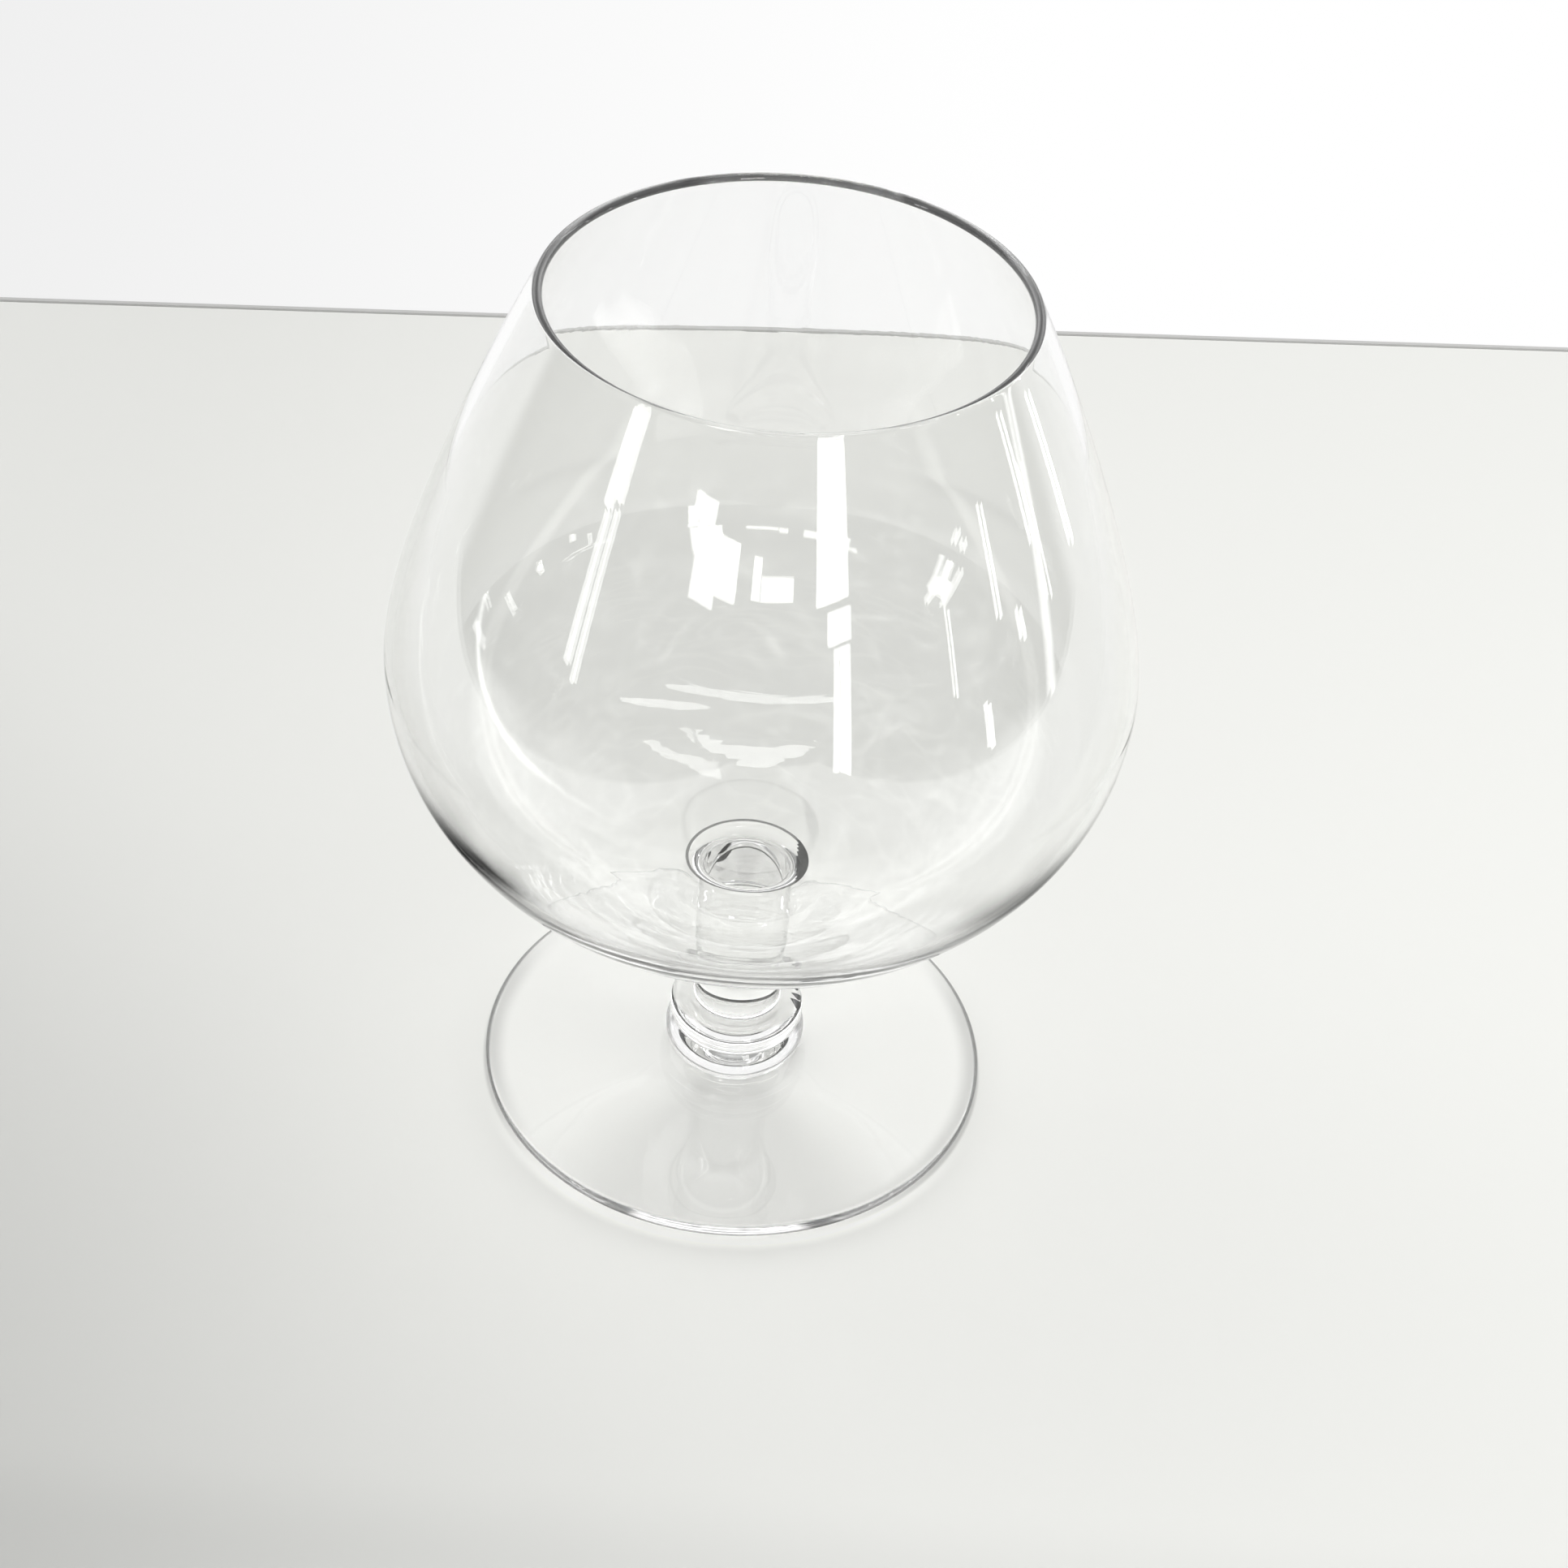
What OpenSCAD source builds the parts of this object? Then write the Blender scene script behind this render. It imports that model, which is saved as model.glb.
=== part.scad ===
// Brandy snifter: a clear drinking glass with a wide belly, a narrow mouth and a short stem.
// The glass stands on the XY plane and its axis is +Z. The origin is the middle of its resting plane.
// Four gathers of glass are shaped one by one and fused while hot. From the table up they are
// the foot, the collar, the stem with its knop, and the bowl. Each meets the next on a flat disc.

/* [Foot] */
// Diameter of the foot
foot_d = 66.4; // [56:0.2:76]
// Height of the foot at the boss that carries the collar
foot_h = 3.6; // [3.3:0.1:5]
// Thickness of the foot's rounded edge
foot_edge_t = 2; // [1.4:0.1:2.2]
// Diameter where the flat plate starts to rise towards the boss
foot_web_d = 29; // [25:0.5:36]
// Height of the plate's upper side at that diameter
foot_web_h = 2.5; // [2.2:0.1:2.9]
// Rise of the hollow underside at the middle
foot_dome_h = 1; // [0.4:0.1:1.4]
// Inner diameter of the flat ring that the glass rests on
foot_ring_d = 52; // [42:0.5:53]

/* [Collar] */
// Height of the collar between foot and knop
collar_h = 4.2; // [3:0.1:6]
// Diameter of the collar at its bulge
collar_d = 18.4; // [17.6:0.1:22]
// Diameter of the crease where collar and foot meet
collar_foot_d = 17.2; // [15:0.1:17.4]

/* [Stem] */
// Height of the stem, from the collar to the bowl
stem_h = 25.2; // [18:0.1:40]
// Diameter of the knop at its bulge
knop_d = 17.6; // [17:0.1:22]
// Height of the knop above the collar
knop_h = 3.9; // [3.2:0.1:7]
// Height of the knop's widest place above the collar
knop_wide_h = 1.9; // [1:0.1:2.6]
// Diameter of the crease where knop and collar meet
knop_crease_d = 16.8; // [15:0.1:17]
// Radius of the fillet between knop and neck
knop_fillet_r = 0.8; // [0.4:0.1:1.4]
// Diameter of the neck just above the knop
neck_low_d = 11.2; // [9.6:0.1:12.6]
// Diameter of the neck just under its flare
neck_top_d = 11.3; // [9.6:0.1:12.8]
// Diameter of the flare where the bowl sits on the stem
flare_d = 16.2; // [14.4:0.1:19]

/* [Bowl] */
// Height of the bowl, from the stem to the lip
bowl_h = 84; // [72:0.5:100]
// Height of the bowl's widest place above the stem
belly_h = 35.5; // [30:0.5:42]
// Outside diameter at the belly
belly_d = 90; // [80:0.5:104]
// Outside diameter at the lip
mouth_d = 56; // [46:0.2:66]
// Thickness of the wall at the belly
wall_t = 1.2; // [0.9:0.1:2]
// Thickness of the wall at the lip
lip_t = 1.2; // [0.9:0.1:2]
// Thickness of the heavy bottom, at the edge of the joint with the stem
base_t = 3.8; // [2.6:0.1:5.5]
// Angle of the underside at the joint, in degrees above level
base_slope = 13; // [8:0.5:20]
// Angle by which the wall leans in at the lip, in degrees
lip_lean = 27; // [20:0.5:34]

/* [Hidden] */
$fn = 160;

// Steps along each curve of the outlines
curve_steps = 28;
edge_steps = 10;

// Colour of the clear glass
glass_colour = [0.87, 0.91, 0.92, 0.45];

// Pulls of the curves, as shares of the stretch that each one spans
base_pull_share = 0.56;
belly_under_share = 0.56;
belly_over_share = 0.2;
lip_pull_share = 0.25;
neck_pull_share = 0.35;
web_pull_share = 0.55;
boss_pull_share = 0.6;
boss_drift_share = 0.12;
// How fast the wall thins away from the heavy bottom
base_taper = 3;

// Heights of the stacked pieces above the table
collar_z = foot_h;
stem_z = collar_z + collar_h;
bowl_z = stem_z + stem_h;

// Radii
foot_r = foot_d / 2;
foot_edge_r = foot_edge_t / 2;
foot_web_r = foot_web_d / 2;
foot_ring_r = foot_ring_d / 2;
boss_r = collar_foot_d / 2;
collar_r = collar_d / 2;
crease_r = knop_crease_d / 2;
knop_r = knop_d / 2;
neck_low_r = neck_low_d / 2;
neck_top_r = neck_top_d / 2;
flare_r = flare_d / 2;
belly_r = belly_d / 2;
mouth_r = mouth_d / 2;
lip_r = lip_t / 2;

// Points of a curve or an arc, from its start to its end
function steps(count) = [for (i = [0 : count]) i / count];

// A point of the cubic curve with the four handles p, at u from 0 to 1
function bezier(p, u) = pow(1 - u, 3) * p[0] + 3 * u * pow(1 - u, 2) * p[1]
    + 3 * u * u * (1 - u) * p[2] + pow(u, 3) * p[3];

// How fast that point moves with u
function bezier_rate(p, u) = 3 * pow(1 - u, 2) * (p[1] - p[0])
    + 6 * u * (1 - u) * (p[2] - p[1]) + 3 * u * u * (p[3] - p[2]);

// The unit vector to the left of v, which is the side of the glass when an outline runs up its outside
function left_of(v) = [-v[1], v[0]] / norm(v);

// A unit vector at an angle above level
function heading(angle) = [cos(angle), sin(angle)];

// An arc about a centre between two angles
function arc(centre, radius, from, to, count) =
    [for (u = steps(count)) centre + radius * heading(from + (to - from) * u)];

// Half the side of a bead, from its edge to its widest place, where it runs straight up
function swell(edge, widest, count) = [for (u = steps(count))
    [widest[0] - (widest[0] - edge[0]) * pow(1 - u, 2), edge[1] + (widest[1] - edge[1]) * u]];

// A list the other way round
function turned(list) = [for (i = [len(list) - 1 : -1 : 0]) list[i]];

// Turns an outline, drawn to the right of the axis, into a solid
module spun(outline) {
    rotate_extrude() polygon(outline);
}

// Foot: hollow underside, flat resting ring, rounded edge, plate, and the soft rise to the boss

// Height of the hollow underside at a radius. It is level at the middle and where it meets the ring
function foot_dome(r) = foot_dome_h * pow(1 - pow(r / foot_ring_r, 2), 2);

foot_underside = [for (u = steps(curve_steps)) [foot_ring_r * u, foot_dome(foot_ring_r * u)]];
foot_rim = arc([foot_r - foot_edge_r, foot_edge_r], foot_edge_r, -90, 90, edge_steps);
foot_slope = (foot_web_h - foot_edge_t) / (foot_r - foot_edge_r - foot_web_r);
foot_web_run = foot_web_r - boss_r;
foot_rise = [
    [foot_web_r, foot_web_h],
    [foot_web_r, foot_web_h] + web_pull_share * foot_web_run * [-1, foot_slope],
    [boss_r + boss_drift_share * foot_web_run, foot_h - boss_pull_share * (foot_h - foot_web_h)],
    [boss_r, foot_h]
];

module foot() {
    color(glass_colour)
        spun(concat(
            foot_underside,
            foot_rim,
            [for (u = steps(curve_steps)) bezier(foot_rise, u)],
            [[0, foot_h]]
        ));
}

// Collar: a flat ring of glass with a bulging side

collar_bulge = [collar_r, collar_h / 2];

module collar() {
    color(glass_colour)
        translate([0, 0, collar_z])
            spun(concat(
                [[0, 0]],
                swell([boss_r, 0], collar_bulge, edge_steps),
                turned(swell([crease_r, collar_h], collar_bulge, edge_steps)),
                [[0, collar_h]]
            ));
}

// Stem: knop, fillet, neck and flare

// Radius and height where the knop's upper side ends in the fillet
knop_top_r = neck_low_r + knop_fillet_r;
// The flare ends at the slope of the bowl's underside, so the two run on smoothly
flare_fillet_r = (flare_r - neck_top_r) / (1 - sin(base_slope));
flare_centre = [neck_top_r + flare_fillet_r, stem_h - flare_fillet_r * cos(base_slope)];
neck_low_h = knop_h + knop_fillet_r;
neck_run = flare_centre[1] - neck_low_h;
neck_line = [
    [neck_low_r, neck_low_h],
    [neck_low_r, neck_low_h + neck_pull_share * neck_run],
    [neck_top_r, flare_centre[1] - neck_pull_share * neck_run],
    [neck_top_r, flare_centre[1]]
];
knop_under = swell([crease_r, 0], [knop_r, knop_wide_h], edge_steps);
knop_over = [for (u = steps(edge_steps))
    [knop_top_r + (knop_r - knop_top_r) * cos(90 * u), knop_wide_h + (knop_h - knop_wide_h) * sin(90 * u)]];

module stem() {
    color(glass_colour)
        translate([0, 0, stem_z])
            spun(concat(
                [[0, 0]],
                knop_under,
                knop_over,
                arc([knop_top_r, neck_low_h], knop_fillet_r, 270, 180, edge_steps),
                [for (u = steps(curve_steps)) bezier(neck_line, u)],
                arc(flare_centre, flare_fillet_r, 180, 90 + base_slope, edge_steps),
                [[0, stem_h]]
            ));
}

// Bowl: underside, belly, shoulder and lip outside, then the same curves inside at the wall's thickness

belly_run = belly_r - flare_r;
// Height of the wall's outer edge where the rounded lip begins
lip_edge_h = bowl_h - lip_r * (1 - sin(lip_lean));
shoulder_h = lip_edge_h - belly_h;
underside = [
    [flare_r, 0],
    [flare_r, 0] + base_pull_share * belly_run * heading(base_slope),
    [belly_r, belly_h - belly_under_share * belly_h],
    [belly_r, belly_h]
];
shoulder = [
    [belly_r, belly_h],
    [belly_r, belly_h + belly_over_share * shoulder_h],
    [mouth_r, lip_edge_h] - lip_pull_share * shoulder_h * heading(90 + lip_lean),
    [mouth_r, lip_edge_h]
];

// Thickness of the wall, from the heavy bottom to the belly and from the belly to the lip
function lower_wall(u) = wall_t + (base_t - wall_t) * pow(1 - u, base_taper);
function upper_wall(u) = wall_t + (lip_t - wall_t) * u;

function inner_lower(u) = bezier(underside, u) + lower_wall(u) * left_of(bezier_rate(underside, u));
function inner_upper(u) = bezier(shoulder, u) + upper_wall(u) * left_of(bezier_rate(shoulder, u));

// The floor inside is a shallow dish that runs on into the wall
floor_edge = inner_lower(0);
floor_slope = tan(base_slope - atan(base_taper * (base_t - wall_t) / norm(bezier_rate(underside, 0))));
function floor_h(r) = floor_edge[1] - floor_slope * (pow(floor_edge[0], 2) - pow(r, 2)) / (2 * floor_edge[0]);

lip_centre = [mouth_r, lip_edge_h] + lip_r * heading(180 + lip_lean);

module bowl() {
    color(glass_colour)
        translate([0, 0, bowl_z])
            spun(concat(
                [[0, 0]],
                [for (u = steps(curve_steps)) bezier(underside, u)],
                [for (u = steps(curve_steps)) bezier(shoulder, u)],
                arc(lip_centre, lip_r, lip_lean, 90, edge_steps),
                arc(lip_centre, lip_r, 90, 180 + lip_lean, edge_steps),
                turned([for (u = steps(curve_steps)) inner_upper(u)]),
                turned([for (u = steps(curve_steps)) inner_lower(u)]),
                turned([for (u = steps(edge_steps)) [floor_edge[0] * u, floor_h(floor_edge[0] * u)]])
            ));
}

foot();
collar();
stem();
bowl();
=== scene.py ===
"""Brandy snifter in clear glass, standing on a pale floor in soft studio light.

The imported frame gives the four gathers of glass: foot, collar, stem and bowl. Each is turned again here,
finer, from the same outline, and takes the node's place. All lengths are in metres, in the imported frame:
+Z is the axis of the glass and the floor is at zero.
"""

import logging
import math
from collections.abc import Callable, Mapping
from dataclasses import dataclass, field
from enum import Enum, IntEnum
from typing import Any

import bpy
import numpy as np
from mathutils import Matrix, Vector


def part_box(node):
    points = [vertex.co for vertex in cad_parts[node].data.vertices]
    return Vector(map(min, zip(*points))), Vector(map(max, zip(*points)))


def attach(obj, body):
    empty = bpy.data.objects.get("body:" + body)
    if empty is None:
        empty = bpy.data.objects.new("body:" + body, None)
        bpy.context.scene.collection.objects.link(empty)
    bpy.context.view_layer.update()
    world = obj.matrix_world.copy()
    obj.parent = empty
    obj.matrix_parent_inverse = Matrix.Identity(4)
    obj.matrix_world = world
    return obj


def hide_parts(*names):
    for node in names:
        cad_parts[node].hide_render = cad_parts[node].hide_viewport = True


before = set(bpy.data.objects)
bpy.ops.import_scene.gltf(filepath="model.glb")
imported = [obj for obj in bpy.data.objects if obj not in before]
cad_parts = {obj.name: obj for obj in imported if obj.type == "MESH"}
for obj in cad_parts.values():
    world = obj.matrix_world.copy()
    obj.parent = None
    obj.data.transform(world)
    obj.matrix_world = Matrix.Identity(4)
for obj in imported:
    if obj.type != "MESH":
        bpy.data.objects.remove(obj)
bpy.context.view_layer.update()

ROOT_BODY = "root"
# Two points of an outline closer than this are one
MERGE = 1e-7
# Two points of a mesh closer than this are one
MESH_MERGE = 10 * MERGE
# The value that a noise pattern runs about, and the scale of one that isn't drawn out
NOISE_MIDDLE = 0.5
EVEN = (1.0, 1.0, 1.0)

# Short names for types
Pair = tuple[float, float]
Triple = tuple[float, float, float]
Socket = bpy.types.NodeSocket
Object = bpy.types.Object

log = logging.getLogger("snifter")


class Slot(Enum):
    """The record's material slots."""

    FOOT = "foot_glass"
    STEM = "stem_glass"
    BOWL = "bowl_glass"


class Ray(Enum):
    """The kinds of ray that a shader can tell apart."""

    CAMERA = "Is Camera Ray"
    SHADOW = "Is Shadow Ray"
    DIFFUSE = "Is Diffuse Ray"
    GLOSSY = "Is Glossy Ray"
    TRANSMISSION = "Is Transmission Ray"


class Face(IntEnum):
    """The kinds of face on a piece, by the material slot of its mesh."""

    GLASS = 0
    JOINT = 1
    LINE = 2
    CRESCENT = 3


# Node trees


@dataclass(frozen=True)
class Signal:
    """A number that changes over a surface: an output socket whose operators add Math nodes."""

    recipe: "Recipe"
    socket: Socket

    def __add__(self, other: "Signal | float") -> "Signal":
        """The sum of this and another number."""
        return self.recipe.maths("ADD", self, other)

    def __radd__(self, other: float) -> "Signal":
        """The sum of a plain number and this."""
        return self.recipe.maths("ADD", other, self)

    def __sub__(self, other: "Signal | float") -> "Signal":
        """This less another number."""
        return self.recipe.maths("SUBTRACT", self, other)

    def __rsub__(self, other: float) -> "Signal":
        """A plain number less this."""
        return self.recipe.maths("SUBTRACT", other, self)

    def __mul__(self, other: "Signal | float") -> "Signal":
        """The product of this and another number."""
        return self.recipe.maths("MULTIPLY", self, other)

    def __rmul__(self, other: float) -> "Signal":
        """The product of a plain number and this."""
        return self.recipe.maths("MULTIPLY", other, self)

    def __pow__(self, other: float) -> "Signal":
        """This to a plain power."""
        return self.recipe.maths("POWER", self, other)


class Recipe:
    """A node tree that is filled in from empty."""

    def __init__(self, tree: bpy.types.NodeTree) -> None:
        """Empties the tree of a material or a world."""
        self.tree = tree
        tree.nodes.clear()

    def node(
        self,
        kind: str,
        settings: Mapping[str, Any] | None = None,
        sockets: Mapping[str | int, Any] | None = None,
    ) -> bpy.types.Node:
        """Adds one node.

        Args:
            kind: The node's type, without the "ShaderNode" before it.
            settings: Its own settings, set first.
            sockets: Values, signals or output sockets for its inputs, by name or number.

        Returns:
            The new node.
        """
        made = self.tree.nodes.new("ShaderNode" + kind)
        for name, value in (settings or {}).items():
            setattr(made, name, value)
        for name, value in (sockets or {}).items():
            if isinstance(value, Signal):
                value = value.socket
            if isinstance(value, Socket):
                self.tree.links.new(value, made.inputs[name])
            else:
                made.inputs[name].default_value = value
        return made

    def maths(self, operation: str, *values: "Signal | float") -> Signal:
        """Adds a Math node for the operation on the values and returns its result."""
        made = self.node("Math", {"operation": operation}, dict(enumerate(values)))
        return Signal(self, made.outputs[0])

    def ramp(self, value: Signal, start: float, end: float, low: float = 0.0, high: float = 1.0) -> Signal:
        """Runs smoothly from one number to another while a value crosses a range.

        Args:
            value: The value that is read.
            start: Where the change begins.
            end: Where it is complete.
            low: The result before the range.
            high: The result past it.

        Returns:
            The result.
        """
        made = self.node(
            "MapRange",
            {"interpolation_type": "SMOOTHSTEP"},
            {"Value": value, "From Min": start, "From Max": end, "To Min": low, "To Max": high},
        )
        return Signal(self, made.outputs["Result"])

    def is_ray(self, *kinds: Ray) -> Signal:
        """One where the ray is of any of the given kinds, and zero elsewhere.

        Args:
            kinds: The kinds of ray.

        Returns:
            The mask.
        """
        first, *rest = self.path(*(kind.value for kind in kinds))
        for other in rest:
            first = self.maths("MAXIMUM", first, other)
        return first

    def straight_on(self) -> Signal:
        """One on the rays that nothing has turned back, and that have gone through glass at most."""
        mirrored, scattered = self.path("Glossy Depth", "Diffuse Depth")
        return 1 - self.maths("MINIMUM", mirrored + scattered, 1.0)

    def path(self, *names: str) -> list[Signal]:
        """Outputs of a Light Path node: what the ray is and what it has been through."""
        read = self.node("LightPath")
        return [Signal(self, read.outputs[name]) for name in names]

    def axes(self, vector: Socket) -> list[Signal]:
        """The shares of a place or a direction along X, Y and Z."""
        split = self.node("SeparateXYZ", None, {"Vector": vector})
        return [Signal(self, split.outputs[axis]) for axis in "XYZ"]

    def facing(self) -> Signal:
        """How far the surface turns away from the ray, from 0 where it lies square to it."""
        return Signal(self, self.node("LayerWeight", None, {"Blend": 0.5}).outputs["Facing"])

    def noise(
        self, place: Socket, scale: Triple, size: float, detail: float, roughness: float, stir: float = 0.0
    ) -> Signal:
        """Adds a noise pattern.

        Args:
            place: Where it is read.
            scale: What the place is multiplied by. The pattern is drawn out where this is small.
            size: The size of its forms.
            detail: How many finer noises it adds.
            roughness: How strong these are.
            stir: How far it is stirred.

        Returns:
            The pattern.
        """
        drawn_out = self.node("Mapping", None, {"Vector": place, "Scale": scale}).outputs[0]
        sockets = {"Vector": drawn_out, "Scale": 1 / size, "Detail": detail, "Roughness": roughness}
        made = self.node("TexNoise", {"noise_dimensions": "3D"}, {**sockets, "Distortion": stir})
        return Signal(self, made.outputs["Fac"])

    def shaded(self, colour: Triple, share: Signal, clamped: bool = True) -> Socket:
        """A share of a colour. A share over one lightens it where it isn't clamped."""
        mixed = self.node(
            "Mix",
            {"data_type": "RGBA", "clamp_factor": clamped},
            {"Factor": share, "A": (0.0, 0.0, 0.0, 1.0), "B": (*colour, 1.0)},
        )
        return mixed.outputs[2]


# Finishes


@dataclass(frozen=True)
class ClearGlass:
    """Clear fire-polished glass with the faint waviness of work done by hand."""

    tint: Triple
    ior: float = 1.5
    # Waves all over, and tool marks round the axis that are deeper in the heavy bottom
    ripple_size: float = 0.018
    ripple_height: float = 5e-6
    mark_size: float = 0.0012
    mark_scale: Triple = (0.06, 0.06, 1.0)
    mark_height: float = 7e-7
    bottom_mark_height: float = 2.2e-5
    bottom_marks: Pair = (0.037, 0.048)
    # Patches that are less well polished
    smear_size: float = 0.02
    smears_from: Pair = (0.58, 0.78)
    smear_roughness: float = 0.02
    # Painted shade where a ray has turned many times in the glass: how many turns darken it, and how much is
    # left, higher up and in the bottom
    dims_from: Pair = (9, 38)
    dim_share: float = 0.02
    bottom_dim_share: float = 0.8
    # The painted dark outline, where the glass turns away from a ray that has turned only a few times
    edge_from: Pair = (0.42, 0.62)
    edge_share: float = 1.0
    edge_until: Pair = (3, 5)
    edge_radius: Pair | None = None
    # What passes through of a lamp's light, and what gathers at the outline and along the cords
    lets_through: float = 0.955
    gathers: float = 1.3
    gathers_from: Pair = (0.78, 0.84)
    cord_size: float = 0.016
    cord_scale: Triple = (1.0, 1.0, 2.4)
    cord_width_share: float = 0.02
    cord_gathers: float = 1.3
    # Painted shade in the heavy bottom everywhere but along thin streaks, which are left lighter
    streak_size: float = 0.0028
    streak_scale: Triple = (0.16, 0.16, 1.0)
    streak_width: float = 0.03
    streak_share: float = 0.96
    streaks_to: Pair = (0.046, 0.066)
    has_cords: bool = True

    def material(self, name: str) -> bpy.types.Material:
        """Makes the material.

        Args:
            name: Its name.

        Returns:
            The material, which lets the lamps through so that the floor under it is lit.
        """
        made = bpy.data.materials.new(name)
        made.use_nodes = True
        recipe = Recipe(made.node_tree)
        place = recipe.node("TexCoord").outputs["Object"]
        height = recipe.axes(place)[2]
        ripples = recipe.noise(place, EVEN, self.ripple_size, 2.0, 0.45)
        smears = recipe.noise(place, EVEN, self.smear_size, 5.0, 0.6)
        marks = recipe.noise(place, self.mark_scale, self.mark_size, 2.0, 0.5)
        depth = recipe.ramp(
            height, *self.bottom_marks,
            self.bottom_mark_height / self.ripple_height, self.mark_height / self.ripple_height,
        )
        bump = recipe.node(
            "Bump", None,
            {"Strength": 1.0, "Distance": self.ripple_height, "Height": ripples + depth * marks},
        )
        glass = recipe.node(
            "BsdfPrincipled",
            {"distribution": "MULTI_GGX"},
            {
                "Base Color": self._colour(recipe, place),
                "Roughness": recipe.ramp(smears, *self.smears_from, 0.0, self.smear_roughness),
                "IOR": self.ior,
                "Transmission Weight": 1.0,
                "Normal": bump.outputs["Normal"],
            },
        )
        mix = recipe.node(
            "MixShader", None,
            {0: recipe.is_ray(Ray.SHADOW), 1: glass.outputs[0], 2: self._shade(recipe).outputs[0]},
        )
        recipe.node("OutputMaterial", None, {"Surface": mix.outputs[0]})
        return made

    def _colour(self, recipe: Recipe, place: Socket) -> Socket:
        """Paints shade on light that has long gone to and fro in the glass, on the outline, and between a few
        thin streaks.

        Args:
            recipe: The material's recipe.
            place: The place on the piece.

        Returns:
            The glass's colour.
        """
        across, depth, height = recipe.axes(place)
        turns, scattered = recipe.path("Ray Depth", "Diffuse Depth")
        low = recipe.ramp(height, *self.bottom_marks, self.bottom_dim_share, self.dim_share)
        share = 1 - recipe.ramp(turns, *self.dims_from) * (1 - low)
        if self.edge_share < 1:
            first_seen = recipe.ramp(turns, *self.edge_until, 1.0, 0.0)
            first_seen = first_seen * recipe.ramp(scattered, 0.0, 1.0, 1.0, 0.0)
            painted_dark = first_seen * recipe.ramp(recipe.facing(), *self.edge_from)
            if self.edge_radius is not None:
                painted_dark = painted_dark * recipe.ramp((across**2 + depth**2) ** 0.5, *self.edge_radius)
            share = share * (1 - (1 - self.edge_share) * painted_dark)
        if self.has_cords:
            waves = recipe.noise(place, self.streak_scale, self.streak_size, 2.0, 0.5, 0.3)
            between = recipe.ramp(recipe.maths("ABSOLUTE", waves - NOISE_MIDDLE), 0.0, self.streak_width)
            heavy = recipe.ramp(height, *self.streaks_to, 1.0, 0.0)
            share = share * (1 - (1 - self.streak_share) * heavy * between)
        return recipe.shaded(self.tint, share)

    def _shade(self, recipe: Recipe) -> bpy.types.Node:
        """Lets a lamp's light pass, dimmed a little, and gathers it at the outline and along thin cords.

        Args:
            recipe: The material's recipe.

        Returns:
            The shader.
        """
        through, gathered, corded = (
            recipe.node("BsdfTransparent", None, {"Color": (share, share, share, 1.0)}).outputs[0]
            for share in (self.lets_through, self.gathers, self.cord_gathers)
        )
        edges = recipe.node(
            "MixShader", None,
            {0: recipe.ramp(recipe.facing(), *self.gathers_from), 1: through, 2: gathered},
        )
        if not self.has_cords:
            return edges
        place = recipe.node("TexCoord").outputs["Object"]
        waves = recipe.noise(place, self.cord_scale, self.cord_size, 1.0, 0.5, 0.6)
        off_cord = recipe.maths("ABSOLUTE", waves - NOISE_MIDDLE)
        cords = recipe.ramp(off_cord, 0.0, self.cord_width_share, 1.0, 0.0)
        return recipe.node("MixShader", None, {0: cords, 1: edges.outputs[0], 2: corded})


@dataclass(frozen=True)
class FusedJoint:
    """The face where two gathers have run into one, which light passes straight."""

    name: str
    clearness: float

    def material(self) -> bpy.types.Material:
        """Makes the material, or finds it where it is made already.

        Returns:
            The material, which all pieces share.
        """
        found = bpy.data.materials.get(self.name)
        if found is not None:
            return found
        made = bpy.data.materials.new(self.name)
        made.use_nodes = True
        recipe = Recipe(made.node_tree)
        shade = (self.clearness, self.clearness, self.clearness, 1.0)
        clear = recipe.node("BsdfTransparent", None, {"Color": shade})
        recipe.node("OutputMaterial", None, {"Surface": clear.outputs[0]})
        return made


# The middle of a joint, the line round it and the crescent of painted shade beside it, in the order of Face
JOINT_FINISHES = (
    FusedJoint("fused_joint", 1.0),
    FusedJoint("joint_line", 0.4),
    FusedJoint("joint_shade_crescent", 0.12),
)


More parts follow.
